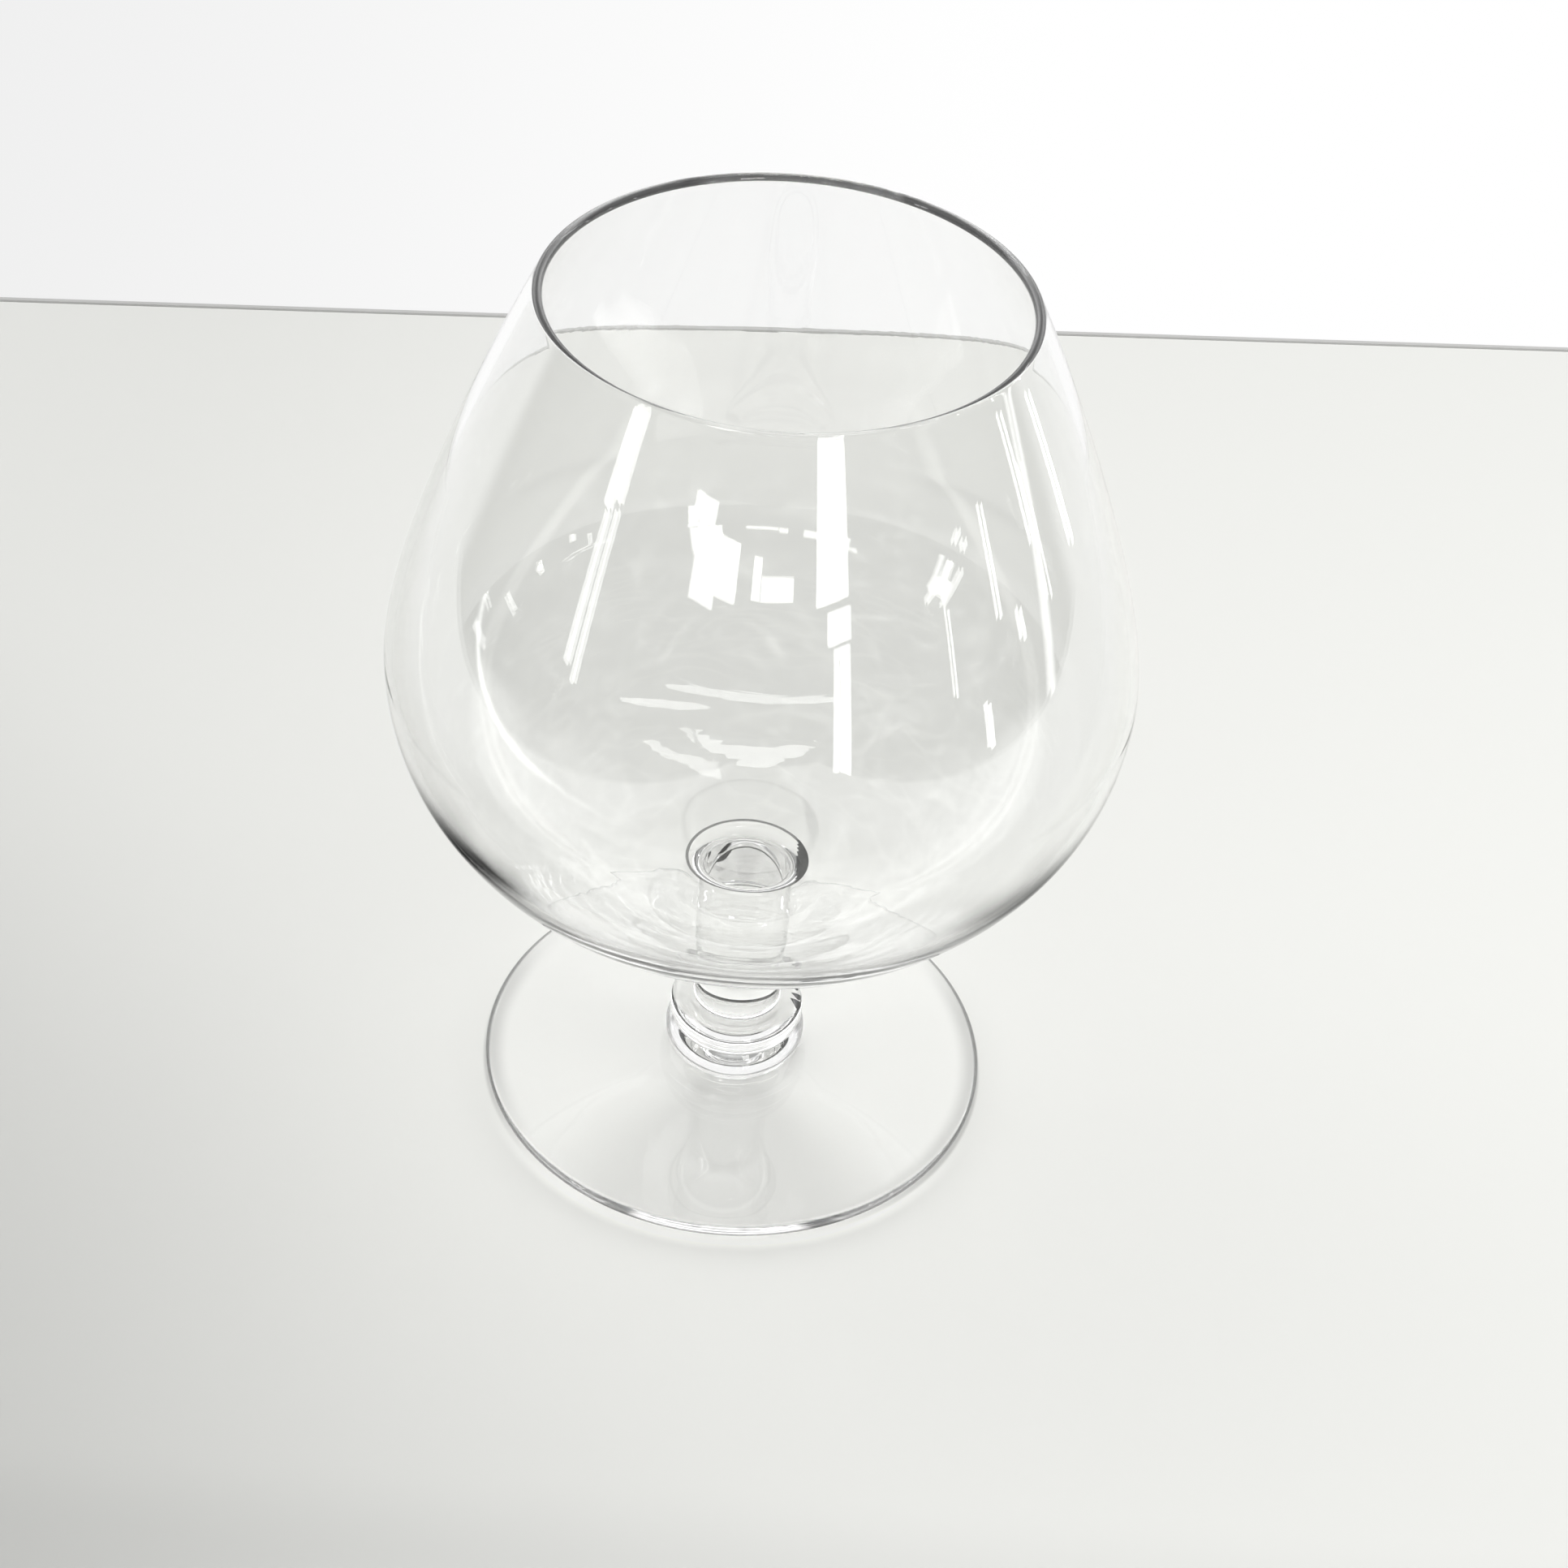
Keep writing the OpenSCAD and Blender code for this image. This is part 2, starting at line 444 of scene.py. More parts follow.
@dataclass(frozen=True)
class SatinFloor:
    """A pale satin top with painted shade and light. Its dark stretches and white ends are painted
    reflections, seen only in glass.
    """

    colour: Triple = (0.872, 0.876, 0.846)
    roughness: float = 0.14
    gloss: float = 0.02
    # The painted dark reflections on either side of the foot, which draw the outline of the glass
    painted_dark: float = 0.01
    dark_from: Pair = (0.042, 0.054)
    dark_to: Pair = (0.056, 0.08)
    dark_depth: Pair = (0.015, 0.045)
    dark_sides: Pair = (-0.02, 0.02)
    right_dark_share: float = 0.6
    # Farther out the glass mirrors the table as a painted white reflection
    white_from: Pair = (0.13, 0.22)
    # Painted shade over the near left corner, and fainter painted shade over the left and the front
    corner: Pair = (-0.75, -0.66)
    shade_from: Pair = (0.02, 0.15)
    shade_to: Pair = (0.22, 0.4)
    shade_share: float = 0.68
    left_from: Pair = (-0.12, -0.02)
    left_share: float = 0.94
    near_from: Pair = (-0.083, -0.07)
    near_share: float = 0.93
    # Under the foot: painted light for what the plate gathers, less of it in a fan of painted shadow before
    # the stem
    under_foot: Pair = (0.031, 0.033)
    painted_light_under_foot: float = 1.05
    back_angle: Pair = (1.8, 2.3)
    painted_light_under_foot_back: float = 1.09
    fan_angle: Pair = (0.4, 0.95)
    fan_shadow_share: float = 0.84
    # The painted glow before the foot's edge, and the painted shadow of the edge at its sides
    glow_from: Pair = (0.0316, 0.0326)
    glow_to: Pair = (0.0334, 0.0352)
    glow_angle: Pair = (0.6, 1.3)
    painted_glow_share: float = 0.22
    rim_from: Pair = (0.0300, 0.0325)
    rim_to: Pair = (0.0332, 0.0337)
    rim_angle: Pair = (0.7, 1.5)
    rim_sides: Pair = (-0.005, 0.005)
    rim_right: float = 0.45
    edge_shadow_share: float = 0.72

    def material(self, name: str) -> bpy.types.Material:
        """Makes the material.

        Args:
            name: Its name.

        Returns:
            The material.
        """
        made = bpy.data.materials.new(name)
        made.use_nodes = True
        recipe = Recipe(made.node_tree)
        across, depth, _ = recipe.axes(recipe.node("TexCoord").outputs["Object"])
        top = recipe.node(
            "BsdfPrincipled", None,
            {
                "Base Color": self._colour(recipe, across, depth),
                "Roughness": self.roughness,
                "Specular IOR Level": self.gloss,
            },
        )
        aside = recipe.maths("ABSOLUTE", across)
        beside = recipe.ramp(aside, *self.dark_from) * recipe.ramp(aside, *self.dark_to, 1.0, 0.0)
        along = recipe.ramp(recipe.maths("ABSOLUTE", depth), *self.dark_depth, 1.0, 0.0)
        along = along * recipe.ramp(across, *self.dark_sides, 1.0, self.right_dark_share)
        turned_back = 1 - recipe.straight_on()
        painted_dark_reflection = recipe.node("BsdfDiffuse", None, {"Color": (self.painted_dark, self.painted_dark, self.painted_dark, 1.0)})
        painted_white_reflection = recipe.node("Emission", None, {"Color": (1, 1, 1, 1), "Strength": 1.0})
        darker = recipe.node(
            "MixShader", None,
            {0: recipe.is_ray(Ray.GLOSSY) * beside * along, 1: top.outputs[0], 2: painted_dark_reflection.outputs[0]},
        )
        in_glass = recipe.is_ray(Ray.GLOSSY, Ray.TRANSMISSION)
        mix = recipe.node(
            "MixShader", None,
            {
                0: in_glass * turned_back * recipe.ramp(aside, *self.white_from),
                1: darker.outputs[0],
                2: painted_white_reflection.outputs[0],
            },
        )
        recipe.node("OutputMaterial", None, {"Surface": mix.outputs[0]})
        return made

    def _colour(self, recipe: Recipe, across: Signal, depth: Signal) -> Socket:
        """Paints shade on the near left corner, the left and the front, and paints light and shadow under and
        round the foot.

        Args:
            recipe: The material's recipe.
            across: The place from left to right.
            depth: The place from front to back.

        Returns:
            The table's colour.
        """
        towards = across * self.corner[0] + depth * self.corner[1]
        shade = recipe.ramp(towards, *self.shade_from) * recipe.ramp(towards, *self.shade_to, 1.0, 0.0)
        turn = recipe.maths("ABSOLUTE", recipe.maths("ARCTAN2", across, depth * -1))
        radius = (across**2 + depth**2) ** 0.5
        fan_shadow = recipe.ramp(turn, *self.fan_angle, self.fan_shadow_share, 1.0)
        foot = recipe.ramp(radius, *self.under_foot, 1.0, 0.0)
        painted_light = recipe.ramp(turn, *self.back_angle, self.painted_light_under_foot, self.painted_light_under_foot_back)
        share = (1 - shade * (1 - self.shade_share)) * (1 + foot * (painted_light * fan_shadow - 1))
        ring = recipe.ramp(radius, *self.glow_from) * recipe.ramp(radius, *self.glow_to, 1.0, 0.0)
        share = share * (1 + self.painted_glow_share * ring * recipe.ramp(turn, *self.glow_angle, 1.0, 0.0))
        edge_shadow = recipe.ramp(radius, *self.rim_from) * recipe.ramp(radius, *self.rim_to, 1.0, 0.0)
        aside = recipe.ramp(turn + recipe.ramp(across, *self.rim_sides, 0.0, self.rim_right), *self.rim_angle)
        aside = aside * recipe.ramp(turn, *self.back_angle, 1.0, 0.0)
        share = share * (1 - (1 - self.edge_shadow_share) * edge_shadow * aside)
        share = share * recipe.ramp(across, *self.left_from, self.left_share, 1.0)
        share = share * recipe.ramp(depth, *self.near_from, self.near_share, 1.0)
        return recipe.shaded(self.colour, share, clamped=False)


# Outlines and turning


def point(radius: float, height: float) -> Vector:
    """A point of a half section."""
    return Vector((radius, height))


def heading(degrees: float) -> Vector:
    """The unit vector at an angle above level."""
    angle = math.radians(degrees)
    return Vector((math.cos(angle), math.sin(angle)))


@dataclass(frozen=True)
class Curve:
    """A cubic curve between the first and last of its four handles."""

    handles: tuple[Vector, Vector, Vector, Vector]

    def at(self, u: float) -> Vector:
        """The point at a share of the way along."""
        a, b, c, d = self.handles
        return (1 - u) ** 3 * a + 3 * u * (1 - u) ** 2 * b + 3 * u**2 * (1 - u) * c + u**3 * d

    def rate(self, u: float) -> Vector:
        """How fast that point moves with the share."""
        a, b, c, d = self.handles
        return 3 * (1 - u) ** 2 * (b - a) + 6 * u * (1 - u) * (c - b) + 3 * u**2 * (d - c)

    def inward(self, u: float, wall: float) -> Vector:
        """The point at a wall's thickness to the left of the curve."""
        rate = self.rate(u)
        return self.at(u) + wall * Vector((-rate.y, rate.x)).normalized()


class Outline:
    """The right half of a turned piece's section, as points of radius and height."""

    def __init__(self, radius: float, height: float) -> None:
        """Begins at a point."""
        self.points = [point(radius, height)]

    def trace(self, shape: Callable[[float], Vector], steps: int) -> "Outline":
        """Runs on along a function of the share from 0 to 1.

        Args:
            shape: The function. A point of it that repeats the last one is left out.
            steps: Steps along it.

        Returns:
            This outline.
        """
        for place in (shape(step / steps) for step in range(steps + 1)):
            if (place - self.points[-1]).length > MERGE:
                self.points.append(place)
        return self

    def line(self, end: Vector, steps: int = 1) -> "Outline":
        """Runs straight on to a point, in a number of steps."""
        start = self.points[-1]
        return self.trace(lambda u: start.lerp(end, u), steps)

    def arc(self, centre: Vector, radius: float, start: float, end: float, steps: int) -> "Outline":
        """Runs on along an arc about a centre, between two angles in degrees above level."""
        return self.trace(lambda u: centre + radius * heading(start + (end - start) * u), steps)


def swell(edge: Vector, widest: Vector) -> Callable[[float], Vector]:
    """Half the side of a bead, from its edge to its widest place, where it runs straight up."""
    return lambda u: point(
        widest.x - (widest.x - edge.x) * (1 - u) ** 2,
        edge.y + (widest.y - edge.y) * u,
    )


def turned(shape: Callable[[float], Vector]) -> Callable[[float], Vector]:
    """The same function run the other way."""
    return lambda u: shape(1 - u)


@dataclass(frozen=True)
class Lathe:
    """Turns outlines into closed solids."""

    steps: int = 288

    def turn(self, name: str, outline: Outline) -> Object:
        """Draws an outline point by point and spins it about the axis.

        Args:
            name: The piece's name.
            outline: The outline, which starts and ends on the axis.

        Returns:
            The piece, with its normals outwards and its origin on the floor.
        """
        bpy.ops.object.select_all(action="DESELECT")
        first = outline.points[0]
        bpy.ops.mesh.primitive_plane_add(size=outline.points[1].length, location=(first.x, 0, first.y))
        piece = bpy.context.object
        piece.name = name
        piece.data.name = name
        bpy.ops.object.transform_apply(location=True)
        bpy.ops.object.mode_set(mode="EDIT")
        bpy.ops.mesh.select_mode(type="VERT")
        bpy.ops.mesh.select_all(action="SELECT")
        bpy.ops.mesh.merge(type="CENTER")
        for before, after in zip(outline.points, outline.points[1:]):
            move = after - before
            bpy.ops.mesh.extrude_region_move(TRANSFORM_OT_translate={"value": (move.x, 0, move.y)})
        bpy.ops.object.mode_set(mode="OBJECT")
        bpy.ops.object.modifier_add(type="SCREW")
        turning = piece.modifiers[-1]
        turning.axis = "Z"
        turning.angle = math.tau
        turning.steps = self.steps
        turning.render_steps = self.steps
        turning.use_merge_vertices = True
        turning.merge_threshold = MESH_MERGE
        bpy.ops.object.modifier_apply(modifier=turning.name)
        bpy.ops.object.mode_set(mode="EDIT")
        bpy.ops.mesh.select_all(action="SELECT")
        bpy.ops.mesh.remove_doubles(threshold=MESH_MERGE)
        bpy.ops.mesh.select_all(action="SELECT")
        bpy.ops.mesh.normals_make_consistent(inside=False)
        bpy.ops.object.mode_set(mode="OBJECT")
        return piece


# The four gathers


@dataclass(frozen=True)
class Span:
    """Where a node of the frame lies: its lowest and highest place, and how far it reaches from the axis."""

    low: float
    high: float
    reach: float

    @classmethod
    def of(cls, node: str) -> "Span":
        """Reads a node's box in the frame."""
        lowest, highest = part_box(node)
        return cls(lowest.z, highest.z, max(highest.x, highest.y))


@dataclass
class Gather:
    """One gather of glass: a turned piece that stands for a node of the frame."""

    node: str
    slot: Slot
    finish: ClearGlass
    span: Span = field(init=False)
    joint_line: float = field(default=0.0004, init=False)
    shade_crescent: float = field(default=0.0016, init=False)
    shade_crescent_reach: float = field(default=0.8, init=False)
    joint_steps: int = field(default=4, init=False)
    smooth_below: float = field(default=40.0, init=False)

    def __post_init__(self) -> None:
        """Reads where the node lies."""
        self.span = Span.of(self.node)

    def outline(self) -> Outline:
        """The piece's half section, which each gather draws for itself."""
        raise NotImplementedError

    def joints(self) -> tuple[Pair, ...]:
        """Heights and radii of the flat faces where the piece has fused to its neighbours."""
        raise NotImplementedError

    def from_joint(self, height: float, radius: float) -> Outline:
        """Begins an outline along the joint under the piece.

        Args:
            height: The joint's height.
            radius: Its radius.

        Returns:
            The outline, up to where the joint's line begins.
        """
        inner = point(radius - self.shade_crescent, height)
        line = point(radius - self.joint_line, height)
        return Outline(0, height).line(inner).line(line, self.joint_steps).line(point(radius, height))

    def to_joint(self, outline: Outline, height: float, radius: float) -> Outline:
        """Ends an outline along the joint on top of the piece.

        Args:
            outline: The outline, up to the joint's edge.
            height: The joint's height.
            radius: Its radius.

        Returns:
            The outline, up to the axis.
        """
        inner = point(radius - self.shade_crescent, height)
        line = point(radius - self.joint_line, height)
        return outline.line(line).line(inner, self.joint_steps).line(point(0, height))

    def build(self, lathe: Lathe) -> Object:
        """Turns the piece, dresses it and puts it in the node's place.

        Args:
            lathe: What turns it.

        Returns:
            The finished piece.
        """
        piece = lathe.turn(self.node + "_glass", self.outline())
        self._dress(piece)
        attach(piece, ROOT_BODY)
        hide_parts(self.node)
        log.info("%s: %d faces, reach %.2f mm", piece.name, len(piece.data.polygons), self.span.reach * 1000)
        return piece

    def _dress(self, piece: Object) -> None:
        """Gives the piece its glass, and its joints a finish of their own with a sharp edge round it.

        Args:
            piece: The turned piece.
        """
        mesh = piece.data
        mesh.materials.append(self.finish.material(self.node + "_clear_glass"))
        for joint in JOINT_FINISHES:
            mesh.materials.append(joint.material())
        centres = np.empty(3 * len(mesh.polygons))
        mesh.polygons.foreach_get("center", centres)
        heights = centres[2::3]
        reaches = np.hypot(centres[0::3], centres[1::3])
        slots = np.full(len(mesh.polygons), Face.GLASS, dtype=np.int32)
        for height, radius in self.joints():
            at_joint = np.abs(heights - height) < MESH_MERGE
            depth = radius - reaches
            slots[at_joint] = Face.JOINT
            slots[at_joint & (depth < self.joint_line)] = Face.LINE
            # On the right the line widens to a crescent of painted shade
            rightward = centres[0::3] / reaches
            widening = self.shade_crescent * (rightward - self.shade_crescent_reach) / (1 - self.shade_crescent_reach)
            slots[at_joint & (depth < widening)] = Face.CRESCENT
        mesh.polygons.foreach_set("material_index", slots)
        bpy.ops.object.mode_set(mode="EDIT")
        bpy.ops.mesh.select_all(action="DESELECT")
        bpy.ops.mesh.select_mode(type="FACE")
        for slot in (Face.JOINT, Face.LINE, Face.CRESCENT):
            piece.active_material_index = slot
            bpy.ops.object.material_slot_select()
        bpy.ops.mesh.region_to_loop()
        bpy.ops.mesh.mark_sharp()
        bpy.ops.object.mode_set(mode="OBJECT")
        bpy.ops.object.shade_smooth_by_angle(angle=math.radians(self.smooth_below), keep_sharp_edges=True)


@dataclass
class Foot(Gather):
    """The foot: hollow underside, flat resting ring, rounded edge, plate and the soft rise to the boss."""

    edge_thickness: float = 0.002
    web_radius: float = 0.0145
    web_height: float = 0.0025
    dome_height: float = 0.001
    ring_radius: float = 0.026
    boss_radius: float = 0.0086
    web_pull_share: float = 0.55
    boss_pull_share: float = 0.6
    boss_drift_share: float = 0.12
    underside_steps: int = 48
    edge_steps: int = 32
    plate_steps: int = 12
    rise_steps: int = 40

    def joints(self) -> tuple[Pair, ...]:
        """The foot is fused to the collar alone."""
        return ((self.span.high, self.boss_radius),)

    def outline(self) -> Outline:
        """Draws the foot from the middle of its hollow round the edge to the boss.

        Returns:
            The half section.
        """
        edge_radius = self.edge_thickness / 2
        plate_radius = self.span.reach - edge_radius
        slope = (self.web_height - self.edge_thickness) / (plate_radius - self.web_radius)
        run = self.web_radius - self.boss_radius
        web = point(self.web_radius, self.web_height)
        boss = point(self.boss_radius, self.span.high)
        rise = Curve((
            web,
            web + self.web_pull_share * run * point(-1, slope),
            boss + point(self.boss_drift_share * run, -self.boss_pull_share * (boss.y - web.y)),
            boss,
        ))
        outline = (
            Outline(0, self.dome_height)
            .trace(self._underside, self.underside_steps)
            .arc(point(plate_radius, edge_radius), edge_radius, -90, 90, self.edge_steps)
            .line(web, self.plate_steps)
            .trace(rise.at, self.rise_steps)
        )
        return self.to_joint(outline, self.span.high, self.boss_radius)

    def _underside(self, u: float) -> Vector:
        """The hollow underside, level at the middle and where it meets the ring."""
        return point(self.ring_radius * u, self.dome_height * (1 - u**2) ** 2)


@dataclass
class Collar(Gather):
    """The collar: a flat ring of glass with a bulging side."""

    foot_radius: float = 0.0086
    crease_radius: float = 0.0084
    bead_steps: int = 20

    def joints(self) -> tuple[Pair, ...]:
        """The collar is fused to the foot and to the stem."""
        return ((self.span.low, self.foot_radius), (self.span.high, self.crease_radius))

    def outline(self) -> Outline:
        """Draws the collar from its underside to its top.

        Returns:
            The half section.
        """
        bulge = point(self.span.reach, (self.span.low + self.span.high) / 2)
        outline = (
            self.from_joint(self.span.low, self.foot_radius)
            .trace(swell(point(self.foot_radius, self.span.low), bulge), self.bead_steps)
            .trace(turned(swell(point(self.crease_radius, self.span.high), bulge)), self.bead_steps)
        )
        return self.to_joint(outline, self.span.high, self.crease_radius)


@dataclass
class Stem(Gather):
    """The stem: the knop at its lower end, a fillet, the neck and the flare under the bowl."""

    crease_radius: float = 0.0084
    knop_height: float = 0.0039
    knop_wide_height: float = 0.0019
    knop_fillet: float = 0.0008
    neck_low_radius: float = 0.0056
    neck_top_radius: float = 0.00565
    flare_radius: float = 0.0081
    base_slope: float = 13.0
    neck_pull_share: float = 0.35
    bead_steps: int = 20
    knop_steps: int = 24
    fillet_steps: int = 14
    neck_steps: int = 40
    flare_steps: int = 24

    def joints(self) -> tuple[Pair, ...]:
        """The stem is fused to the collar and to the bowl."""
        return ((self.span.low, self.crease_radius), (self.span.high, self.flare_radius))

    def outline(self) -> Outline:
        """Draws the stem from the knop's crease to the flare.

        Returns:
            The half section.
        """
        low = self.span.low
        lean = math.radians(self.base_slope)
        knop_top = self.neck_low_radius + self.knop_fillet
        flare = (self.flare_radius - self.neck_top_radius) / (1 - math.sin(lean))
        flare_centre = point(self.neck_top_radius + flare, self.span.high - flare * math.cos(lean))
        neck_low = low + self.knop_height + self.knop_fillet
        pull = self.neck_pull_share * (flare_centre.y - neck_low)
        neck = Curve((
            point(self.neck_low_radius, neck_low),
            point(self.neck_low_radius, neck_low + pull),
            point(self.neck_top_radius, flare_centre.y - pull),
            point(self.neck_top_radius, flare_centre.y),
        ))
        widest = point(self.span.reach, low + self.knop_wide_height)

        def knop_over(u: float) -> Vector:
            """The knop's upper side, a quarter of an ellipse."""
            quarter = heading(90 * u)
            return point(
                knop_top + (widest.x - knop_top) * quarter.x,
                widest.y + (self.knop_height - self.knop_wide_height) * quarter.y,
            )

        outline = (
            self.from_joint(low, self.crease_radius)
            .trace(swell(point(self.crease_radius, low), widest), self.bead_steps)
            .trace(knop_over, self.knop_steps)
            .arc(point(knop_top, neck_low), self.knop_fillet, 270, 180, self.fillet_steps)
            .trace(neck.at, self.neck_steps)
            .arc(flare_centre, flare, 180, 90 + self.base_slope, self.flare_steps)
        )
        return self.to_joint(outline, self.span.high, self.flare_radius)


@dataclass
class Bowl(Gather):
    """The bowl: heavy bottom, wide belly, shoulder and melted lip, and the same curves inside."""

    belly_height: float = 0.0355
    mouth_radius: float = 0.028
    wall: float = 0.0012
    lip: float = 0.0012
    base: float = 0.0038
    flare_radius: float = 0.0081
    base_slope: float = 13.0
    lip_lean: float = 27.0
    base_pull_share: float = 0.56
    belly_under_share: float = 0.56
    belly_over_share: float = 0.2
    lip_pull_share: float = 0.25
    base_taper: float = 3.0
    lower_steps: int = 70
    upper_steps: int = 64
    lip_outer_steps: int = 12
    lip_inner_steps: int = 24
    floor_steps: int = 20

    def joints(self) -> tuple[Pair, ...]:
        """The bowl is fused to the stem alone."""
        return ((self.span.low, self.flare_radius),)

    def outline(self) -> Outline:
        """Draws the bowl up the outside, over the lip and down the inside.

        Returns:
            The half section.
        """
        lip_radius = self.lip / 2
        start = point(self.flare_radius, self.span.low)
        belly = point(self.span.reach, self.span.low + self.belly_height)
        lip_edge = point(self.mouth_radius, self.span.high - lip_radius * (1 - heading(self.lip_lean).y))
        rise = lip_edge.y - belly.y
        underside = Curve((
            start,
            start + self.base_pull_share * (belly.x - start.x) * heading(self.base_slope),
            belly - point(0, self.belly_under_share * self.belly_height),
            belly,
        ))
        shoulder = Curve((
            belly,
            belly + point(0, self.belly_over_share * rise),
            lip_edge - self.lip_pull_share * rise * heading(90 + self.lip_lean),
            lip_edge,
        ))

        def inner_lower(u: float) -> Vector:
            """The inside from the floor's edge to the belly, where the wall has thinned."""
            return underside.inward(u, self.wall + (self.base - self.wall) * (1 - u) ** self.base_taper)

        def inner_upper(u: float) -> Vector:
            """The inside from the belly to the lip."""
            return shoulder.inward(u, self.wall + (self.lip - self.wall) * u)

        floor_edge = inner_lower(0)
        thinning = math.atan(self.base_taper * (self.base - self.wall) / underside.rate(0).length)
        slope = math.tan(math.radians(self.base_slope) - thinning)

        def dish(u: float) -> Vector:
            """The floor inside, a shallow dish that runs on into the wall."""
            radius = floor_edge.x * u
            return point(radius, floor_edge.y - slope * (floor_edge.x**2 - radius**2) / (2 * floor_edge.x))

        lip_centre = lip_edge + lip_radius * heading(180 + self.lip_lean)
        return (
            self.from_joint(self.span.low, self.flare_radius)
            .trace(underside.at, self.lower_steps)
            .trace(shoulder.at, self.upper_steps)
            .arc(lip_centre, lip_radius, self.lip_lean, 90, self.lip_outer_steps)
            .arc(lip_centre, lip_radius, 90, 180 + self.lip_lean, self.lip_inner_steps)
            .trace(turned(inner_upper), self.upper_steps)
            .trace(turned(inner_lower), self.lower_steps)
            .trace(turned(dish), self.floor_steps)
        )


# Studio


@dataclass(frozen=True)
class Table:
    """The pale floor: a wide top whose far edge shows behind the glass, as in the photograph."""

    width: float = 0.74
    front: float = -1.7
    back: float = 0.1907
    turn: float = 5.06
    gap: float = 0.0002
    thickness: float = 0.02
    bevel: float = 0.001
    shade_seam: float = 0.0009
    finish: SatinFloor = SatinFloor()
    shade_seam_finish: SatinFloor = SatinFloor((0.6, 0.6, 0.59), 0.5)

    def build(self) -> Object:
        """Models the top and a grey strip of painted shade between its far edge and the wall.

        Returns:
            The table top.
        """
        top = self._slab("table_top", self.front - self.back, 0.0)
        bpy.ops.object.mode_set(mode="EDIT")
        bpy.ops.mesh.select_all(action="SELECT")
        bpy.ops.mesh.bevel(offset=self.bevel, segments=4, affect="EDGES")
        bpy.ops.object.mode_set(mode="OBJECT")
        top.data.materials.append(self.finish.material("pale_satin"))
        # The joint with the wall is a grey strip of painted shade
        shade_seam = self._slab("table_shade_seam", 0.0, self.shade_seam)
        shade_seam.data.materials.append(self.shade_seam_finish.material("painted_shade_seam"))
        log.info("%s: far edge %.0f mm behind the glass", top.name, self.back * 1000)
        return top

    def _slab(self, name: str, near: float, far: float) -> Object:
        """Models a slab as wide and thick as the table, and turns it as the table stands.

        Args:
            name: Its name.
            near: Its near side, measured from the table's far edge.
            far: Its far side.

        Returns:
            The slab.
        """
        bpy.ops.object.select_all(action="DESELECT")
        bpy.ops.mesh.primitive_cube_add(
            size=1,
            location=(0, (near + far) / 2, -self.gap - self.thickness / 2),
            scale=(self.width, far - near, self.thickness),
        )
        slab = bpy.context.object
        slab.name = name
        bpy.ops.object.transform_apply(location=True, rotation=True, scale=True)
        slab.rotation_euler.z = math.radians(self.turn)
        slab.location.y = self.back
        bpy.ops.object.transform_apply(location=True, rotation=True, scale=True)
        return slab


def area_lamp(name: str, shape: str, size: Pair, radiance: float) -> Object:
    """Adds an area lamp of a given brightness that the camera doesn't see.

    Args:
        name: Its name.
        shape: Its outline.
        size: Its size across and up, in metres.
        radiance: Its brightness, where 1 is white.

    Returns:
        The lamp's object.
    """
    lamp = bpy.data.lights.new(name, "AREA")
    lamp.shape = shape
    lamp.size, lamp.size_y = size
    lamp.energy = radiance * math.pi * lamp.size * lamp.size_y
    placed = bpy.data.objects.new(name, lamp)
    bpy.context.scene.collection.objects.link(placed)
    placed.visible_camera = False
    log.info("%s: %.2f x %.2f m, %.2f W", name, lamp.size, lamp.size_y, lamp.energy)
    return placed


@dataclass(frozen=True)
class Softbox:
    """An area lamp that faces the glass, named by where it stands as seen from the belly."""

    name: str
    azimuth: float
    low: float
    high: float
    breadth: float
    radiance: float
    distance: float = 1.2
    lights_floor: bool = False
    shows_in_glass: bool = True

    def build(self, target: Vector) -> Object:
        """Adds the lamp.

        Args:
            target: The point it faces, from which its angles are measured.

        Returns:
            The lamp's object.
        """
        middle = math.radians((self.low + self.high) / 2)
        turn = math.radians(self.azimuth)
        away = Vector((
            math.sin(turn) * math.cos(middle),
            math.cos(turn) * math.cos(middle),
            math.sin(middle),
        ))
        breadth, height = (
            2 * self.distance * math.tan(math.radians(spread / 2))
            for spread in (self.breadth, self.high - self.low)
        )
        placed = area_lamp(self.name, "RECTANGLE", (breadth, height), self.radiance)
        placed.location = target + self.distance * away
        placed.rotation_euler = away.to_track_quat("Z", "Y").to_euler()
        placed.visible_diffuse = self.lights_floor
        placed.visible_glossy = self.shows_in_glass
        placed.visible_transmission = self.shows_in_glass
        return placed


@dataclass(frozen=True)
class CeilingTube:
    """A long lamp overhead that shows in the bowl's far wall, placed by how far it slants from upright."""

    name: str
    slant: Pair
    size: Pair
    turn: float
    radiance: float = 5.0
    height: float = 1.2

    def build(self, target: Vector) -> Object:
        """Adds the lamp, which faces straight down.

        Args:
            target: The point from which its place is measured.

        Returns:
            The lamp's object.
        """
        size = (self.size[0] * self.height, self.size[1] * self.height)
        placed = area_lamp(self.name, "ELLIPSE", size, self.radiance)
        placed.location = target + self.height * Vector((*self.slant, 1))
        placed.rotation_euler.z = math.radians(self.turn)
        placed.visible_diffuse = False
        return placed


